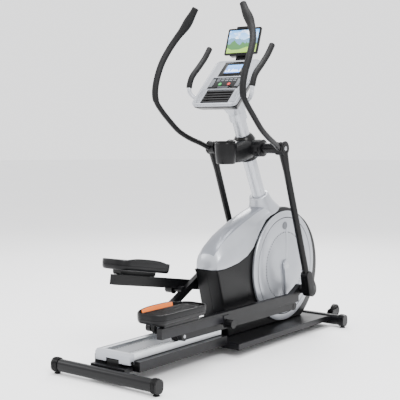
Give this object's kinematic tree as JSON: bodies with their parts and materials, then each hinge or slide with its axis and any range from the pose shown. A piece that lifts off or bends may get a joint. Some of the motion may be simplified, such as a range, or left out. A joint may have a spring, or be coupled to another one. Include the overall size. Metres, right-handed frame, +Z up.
{
  "type": "elliptical trainer",
  "caption": "Front-drive elliptical trainer with an inclining roller ramp, pedals on crank-driven arms, swinging handles, console and tablet holder.",
  "frame": {"origin": "on the floor, under the middle of the machine's overall box", "axes": "+X is the user's right, +Y is the way the user faces, +Z is up"},
  "size_m": [0.64, 1.814, 1.7771],
  "materials": {
    "black_steel": "satin powder coat",
    "silver_steel": "metallic silver paint",
    "bare_steel": "turned",
    "cast_iron": "machined rim",
    "rail_aluminium": "anodised",
    "black_plastic": "fine moulded grain",
    "gloss_black": "polished",
    "silver_plastic": "metallic silver, satin",
    "grey_plastic": "fine moulded grain",
    "foam": "closed-cell foam",
    "rubber": "matt",
    "display": "backlit blue display behind glass",
    "green_key": "satin",
    "red_key": "satin"
  },
  "bodies": {
    "frame": {"stabilizers": "black_steel", "stabilizer_caps": "black_plastic", "stabilizer_feet": "rubber", "rear_base_frame": "black_steel", "lift_motor": "bare_steel", "front_base_frame": "black_steel", "power_inlet": "black_plastic", "right_housing_cover": "black_plastic", "left_housing_cover": "black_plastic", "nose_shroud": "silver_plastic", "upright_collar": "silver_plastic", "inner_frame": "black_steel", "upright": "silver_steel", "magnet_brake": "bare_steel", "pivot_cover": "black_plastic", "bottle_cup": "black_plastic", "console_shell": "silver_plastic", "console_face": "gloss_black", "console_screen": "display", "console_neck": "silver_steel", "tablet_stand": "black_plastic", "fixed_handlebar": "silver_steel", "fixed_grips": "foam", "drive_belt": "rubber"},
    "ramp": {"ramp_cover": "grey_plastic", "ramp_rails": "rail_aluminium", "ramp_end_cap": "silver_plastic"},
    "crank": {"crankshaft": "bare_steel", "drive_pulley": "black_plastic", "crank_discs": "silver_plastic", "crank_arms": "silver_steel"},
    "flywheel": {"flywheel": "cast_iron"},
    "start_key": {"start_button": "green_key"},
    "stop_key": {"stop_button": "red_key"},
    "incline_key": {"incline_rocker": "grey_plastic"},
    "resistance_key": {"resistance_rocker": "grey_plastic"},
    "clamp": {"tablet_clamp": "black_plastic"},
    "tablet": {"tablet": "gloss_black"},
    "right_wheel": {"right_transport_wheel": "rubber"},
    "right_carriage": {"right_roller_axle": "bare_steel"},
    "right_roller": {"right_roller_wheel": "rubber"},
    "right_roller_arm": {"right_roller_arm": "black_steel"},
    "right_pedal": {"right_pedal_arm": "black_steel", "right_pedal_tray": "black_plastic", "right_pedal_pad": "rubber"},
    "right_handle": {"right_swing_leg": "black_steel", "right_leg_cover": "black_plastic", "right_swing_handle": "black_steel", "right_foam_grip": "foam"},
    "left_wheel": {"left_transport_wheel": "rubber"},
    "left_carriage": {"left_roller_axle": "bare_steel"},
    "left_roller": {"left_roller_wheel": "rubber"},
    "left_roller_arm": {"left_roller_arm": "black_steel"},
    "left_pedal": {"left_pedal_arm": "black_steel", "left_pedal_tray": "black_plastic", "left_pedal_pad": "rubber"},
    "left_handle": {"left_swing_leg": "black_steel", "left_leg_cover": "black_plastic", "left_swing_handle": "black_steel", "left_foam_grip": "foam"}
  },
  "joints": [
    {"name": "ramp_incline", "type": "hinge", "parent": "frame", "child": "ramp", "pos_m": [0, -0.814, 0.098], "axis": [1, 0, 0], "range_deg": [0, 10]},
    {"name": "crank_spin", "type": "hinge", "parent": "frame", "child": "crank", "pos_m": [0, 0.478, 0.383], "axis": [1, 0, 0], "continuous": true},
    {"name": "flywheel_spin", "type": "hinge", "parent": "frame", "child": "flywheel", "pos_m": [0, 0.132, 0.3], "axis": [1, 0, 0], "continuous": true},
    {"name": "start_press", "type": "slide", "parent": "frame", "child": "start_key", "axis": [0, 0.7071, -0.7071], "range_m": [0, 0.002], "stiffness_N_per_m": 400},
    {"name": "stop_press", "type": "slide", "parent": "frame", "child": "stop_key", "axis": [0, 0.7071, -0.7071], "range_m": [0, 0.002], "stiffness_N_per_m": 400},
    {"name": "incline_rock", "type": "hinge", "parent": "frame", "child": "incline_key", "pos_m": [-0.082, 0.03797, 1.37231], "axis": [1, 0, 0], "range_deg": [-5, 5], "stiffness_Nm_per_rad": 0.4},
    {"name": "resistance_rock", "type": "hinge", "parent": "frame", "child": "resistance_key", "pos_m": [0.082, 0.03797, 1.37231], "axis": [1, 0, 0], "range_deg": [-5, 5], "stiffness_Nm_per_rad": 0.4},
    {"name": "clamp_lift", "type": "slide", "parent": "frame", "child": "clamp", "axis": [0, 0.309, 0.9511], "range_m": [0, 0.03]},
    {"name": "tablet_lift_off", "type": "slide", "parent": "frame", "child": "tablet", "axis": [1, 0, 0], "range_m": [0, 0.075]},
    {"name": "right_wheel_spin", "type": "hinge", "parent": "frame", "child": "right_wheel", "pos_m": [0.19, 0.869, 0.08], "axis": [1, 0, 0], "continuous": true},
    {"name": "right_swing", "type": "hinge", "parent": "frame", "child": "right_handle", "pos_m": [0, 0.228, 1.038], "axis": [1, 0, 0], "range_deg": [-12.5, 15]},
    {"name": "right_roller_slide", "type": "slide", "parent": "ramp", "child": "right_carriage", "axis": [0, 1, 0], "range_m": [-0.215, 0.215]},
    {"name": "right_roller_spin", "type": "hinge", "parent": "right_carriage", "child": "right_roller", "pos_m": [0, -0.47933, 0.163], "axis": [1, 0, 0], "range_deg": [-430, 430]},
    {"name": "right_roller_arm_tilt", "type": "hinge", "parent": "right_carriage", "child": "right_roller_arm", "pos_m": [0, -0.47933, 0.163], "axis": [1, 0, 0], "range_deg": [-15, 1]},
    {"name": "right_pedal_arm_tilt", "type": "hinge", "parent": "right_roller_arm", "child": "right_pedal", "pos_m": [0, -0.19219, 0.18199], "axis": [1, 0, 0], "range_deg": [-6.5, 6.5]},
    {"name": "left_wheel_spin", "type": "hinge", "parent": "frame", "child": "left_wheel", "pos_m": [-0.19, 0.869, 0.08], "axis": [1, 0, 0], "continuous": true},
    {"name": "left_swing", "type": "hinge", "parent": "frame", "child": "left_handle", "pos_m": [0, 0.228, 1.038], "axis": [1, 0, 0], "range_deg": [-15, 12.5]},
    {"name": "left_roller_slide", "type": "slide", "parent": "ramp", "child": "left_carriage", "axis": [0, 1, 0], "range_m": [-0.215, 0.215]},
    {"name": "left_roller_spin", "type": "hinge", "parent": "left_carriage", "child": "left_roller", "pos_m": [0, -0.41683, 0.163], "axis": [1, 0, 0], "range_deg": [-430, 430]},
    {"name": "left_roller_arm_tilt", "type": "hinge", "parent": "left_carriage", "child": "left_roller_arm", "pos_m": [0, -0.41683, 0.163], "axis": [1, 0, 0], "range_deg": [-15, 1]},
    {"name": "left_pedal_arm_tilt", "type": "hinge", "parent": "left_roller_arm", "child": "left_pedal", "pos_m": [0, -0.17098, 0.31256], "axis": [1, 0, 0], "range_deg": [-6.5, 6.5]}
  ],
  "couplings": [
    {"joint": "flywheel_spin", "follows": "crank_spin", "ratio": 5.2083},
    {"joint": "right_roller_slide", "follows": "right_swing", "m_per_rad": 0.8},
    {"joint": "right_roller_spin", "follows": "right_swing", "ratio": -28.571},
    {"joint": "right_pedal_arm_tilt", "follows": "right_swing", "ratio": 0.4},
    {"joint": "right_roller_arm_tilt", "follows": "ramp_incline", "ratio": -1.34},
    {"joint": "left_roller_slide", "follows": "right_swing", "m_per_rad": -0.8},
    {"joint": "left_roller_spin", "follows": "right_swing", "ratio": 28.571},
    {"joint": "left_pedal_arm_tilt", "follows": "right_swing", "ratio": -0.4},
    {"joint": "left_roller_arm_tilt", "follows": "ramp_incline", "ratio": -1.45},
    {"joint": "left_swing", "follows": "right_swing", "ratio": -1}
  ]
}
